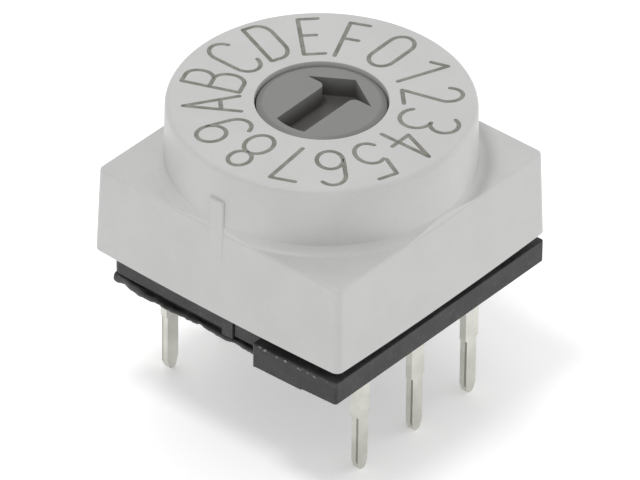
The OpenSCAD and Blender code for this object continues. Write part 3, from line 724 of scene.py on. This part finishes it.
round_edges(rail, 0.10, 6, lambda p, n: abs(n.z) > 0.9 and (p.y < 0 or p.x > 4))
round_edges(rail, 0.035, 3, lambda p, n: p.z > 0.7 and abs(n.z) < 0.2)
for left, right, near, far in ((RAIL_LEFT + 0.12, 3.45, 0.02, 0.065), (3.43, RAIL_RIGHT + 0.1, 0.11, 0.18)):
    under = box_piece("under", (left, -RAIL_HALF - 0.1, -1), (right, RAIL_HALF + 0.1, near))
    pick(under, "VERT", lambda p, n: p.z > -0.5 and p.x > right - 0.01)
    bpy.ops.transform.translate(value=(0, 0, far - near))
    done()
    combine(rail, under, "DIFFERENCE")
print("rail faces:", len(rail.data.polygons))

# %% [markdown]
# On the plug's floor stand the pivot and two posts for the detent leaves. Six slots let the pins
# through. A slot is cut with three boxes, the same three at each of the six places.

# %% Base: pivot, posts and slots
PIN_IN, PIN_OUT, PIN_HALF, STRIP, PAD_IN, PAD_HALF, PITCH = 3.685, 3.935, 0.295, 0.25, 2.835, 0.40, 2.54
combine(band, rail, "UNION")
combine(base, band, "UNION")
combine(base, drum("pivot", 0.45, PLUG_Z - 0.01, 4.96, 64), "UNION")
for side in (-1, 1):
    post = box_piece("post", (-0.6, min(side * 3.38, side * 4.2), PLUG_Z - 0.01), (0.6, max(side * 3.38, side * 4.2), 4.66))
    combine(base, combine(post, drum("round", 3.85, PLUG_Z - 1, 5), "INTERSECT"), "UNION")


def cut_pin_slots(piece):
    """Cuts the six slots for the pins and their pads."""
    for side in (-1, 1):
        for row in (-PITCH, 0, PITCH):
            for inner, outer, half, low, high in ((PIN_IN, PIN_OUT, PIN_HALF, -1, RIM_Z + 0.01), (PIN_IN, PIN_OUT + 0.5, PIN_HALF, RIM_Z, 3.2),
                                                  (PAD_IN, PIN_OUT + 0.5, PAD_HALF, PLUG_Z - STRIP, PLUG_Z + 0.1)):
                a, b = sorted((side * inner, side * outer))
                combine(piece, box_piece("slot", (a, row - half, low), (b, row + half, high)), "DIFFERENCE")


cut_pin_slots(base)
tidy(base)
hand_over(base, "switch_body", "base_plastic", base_black, "base")

# %% [markdown]
# The resin was poured by hand, so its edge wanders and one corner carries a small bead. A divided slab
# is pushed in and out at the places where the photograph shows it, with proportional editing, which
# moves the neighbours along softly. A cloud texture adds the small lumps between them.

# %% Resin
PUSHES = (((-3.15, -4.5), (0, -0.065, -0.03), 0.70), ((-2.16, -4.5), (0, -0.05, -0.02), 0.60), ((-1.35, -4.5), (0, -0.02, -0.01), 0.40),
          ((-0.94, -4.5), (0, 0.04, 0.03), 0.25), ((-0.15, -4.5), (0, -0.03, -0.02), 0.50), ((0.60, -4.5), (0, 0.02, 0.02), 0.30),
          ((-4.05, -4.5), (0, 0.05, 0.03), 0.25), ((-4.5, -3.1), (-0.06, 0, -0.02), 0.80), ((-4.5, -1.0), (-0.03, 0, 0.03), 0.60),
          ((-4.5, 1.2), (-0.06, 0, -0.02), 0.90), ((-4.5, 3.2), (0.03, 0, 0.03), 0.50), ((-3.0, 4.5), (0, 0.06, -0.02), 0.80),
          ((-0.8, 4.5), (0, 0.04, 0.03), 0.60), ((0.6, 4.5), (0, -0.03, 0.02), 0.40))
resin = rounded_box("potting_fine", (-4.49, -4.49, 0.055), (RAIL_LEFT, 4.49, RESIN_Z), 0.35, 0.03)
fill = box_piece("fill", (-4.20, -4.465, RESIN_Z - 0.10), (-1.80, -4.0, 0.37))
pick(fill, "VERT", lambda p, n: p.z > 0.3 and p.x > -2)
bpy.ops.transform.translate(value=(0, 0, -0.22))
done()
combine(resin, fill, "UNION")
bpy.ops.mesh.primitive_uv_sphere_add(segments=32, ring_count=16, radius=1, location=(-4.34, -4.34, 0.20), scale=(0.13, 0.13, 0.20))
combine(resin, named("bead"), "UNION")
alone(resin)
for kind, settings in (("REMESH", {"mode": "VOXEL", "voxel_size": 0.06}), ("SMOOTH", {"factor": 0.5, "iterations": 3})):
    change = resin.modifiers.new(kind.lower(), kind)
    for key, value in settings.items():
        setattr(change, key, value)
    bpy.ops.object.modifier_apply(modifier=change.name)
lumps = bpy.data.textures.new("lumps", "CLOUDS")
lumps.noise_scale = 0.24
change = resin.modifiers.new("lumps", "DISPLACE")
change.texture, change.strength, change.mid_level = lumps, 0.09, 0.5
bpy.ops.object.modifier_apply(modifier=change.name)
for (x, y), move, reach in PUSHES:
    nearest = min((math.dist(v.co, (x, y, 0.05)), tuple(v.co)) for v in resin.data.vertices)[1]
    pick(resin, "VERT", lambda p, n: math.dist(p, nearest) < 0.001)
    bpy.ops.transform.translate(value=move, use_proportional_edit=True, proportional_edit_falloff="SMOOTH", proportional_size=reach)
    done()
cut_pin_slots(resin)
tidy(resin, 60)
hand_over(resin, "switch_body", "potting", resin_black, "potting_seal")

# %% [markdown]
# One pin is modelled: a shoulder that rests on the board, a leg that tapers to a blunt point, a torn
# band along its outer face where the press sheared the strip, and a pad bent inwards. The other five
# are copies with their own mesh. The left row is the right row turned by half a turn.

# %% Pins
LEG_HALF, SHOULDER_LOW, SLOPE_LOW, TAPER_Z, TIP_Z, TORN_W, TORN_DEPTH = 0.25, -1.90, -1.95, -3.60, -3.97, 0.065, 0.025


def narrowed(name, half, low, high, ratio):
    """A piece of the leg whose lower end is narrower."""
    piece = box_piece(name, (PIN_IN, -half, low), (PIN_OUT, half, high))
    pick(piece, "FACE", lambda p, n: n.z < -0.9)
    bpy.ops.transform.resize(value=(1, ratio, 1), center_override=(0, 0, low))
    done()
    return piece


pin = box_piece("terminal_8_fine", (PIN_IN, -PIN_HALF, SHOULDER_LOW), (PIN_OUT, PIN_HALF, PLUG_Z))
combine(pin, narrowed("slope", PIN_HALF, SLOPE_LOW, SHOULDER_LOW, LEG_HALF / PIN_HALF), "UNION")
leg = box_piece("leg", (PIN_IN, -LEG_HALF, TAPER_Z), (PIN_OUT, LEG_HALF, SLOPE_LOW + 0.02))
point = narrowed("point", LEG_HALF, TIP_Z, TAPER_Z, 0.46)
round_edges(point, 0.09, 5, lambda p, n: p.z < TIP_Z + 0.001 and abs(n.x) > 0.9)
combine(leg, point, "UNION")
for side in (-1, 1):
    combine(leg, box_piece("torn", (PIN_OUT - TORN_W, side * LEG_HALF - TORN_DEPTH, TIP_Z - 1),
                           (PIN_OUT + 0.1, side * LEG_HALF + TORN_DEPTH, SLOPE_LOW + 1)), "DIFFERENCE")
combine(pin, leg, "UNION")
combine(pin, box_piece("pad", (PAD_IN, -PAD_HALF, PLUG_Z - STRIP), (PIN_OUT, PAD_HALF, PLUG_Z)), "UNION")
round_edges(pin, 0.12, 5, lambda p, n: p.z > PLUG_Z - 0.001 and p.x > PIN_OUT - 0.001)
soften(pin, 0.010)
tidy(pin)
for name, side, row in (("terminal_1", 1, 1), ("terminal_common_a", 1, 0), ("terminal_2", -1, 1), ("terminal_common_b", -1, 0),
                        ("terminal_4", -1, -1), ("terminal_8", 1, -1)):
    piece = pin
    if name != "terminal_8":
        piece = bpy.data.objects.new(name + "_fine", pin.data.copy())
        bpy.context.scene.collection.objects.link(piece)
    piece.location = (0, row * PITCH, 0)
    if side < 0:
        piece.rotation_euler.z = math.pi
    alone(piece)
    bpy.ops.object.transform_apply(location=True, rotation=True, scale=False)
    hand_over(piece, "switch_body", "tinned_terminal", pin_tin, name)

# %% [markdown]
# The pieces inside the housing keep the shapes of the imported model, and here they get their finishes.

# %% Finishes of the inner pieces
for name, finish in (("rotor_seal", rubber), ("code_disc", laminate),
                     ("detent_spring_a", steel), ("detent_spring_b", steel)):
    nodes[name].data.materials.clear(); nodes[name].data.materials.append(finish)
for name in nodes:
    if name.startswith("contact"):
        nodes[name].data.materials.clear(); nodes[name].data.materials.append(gold)
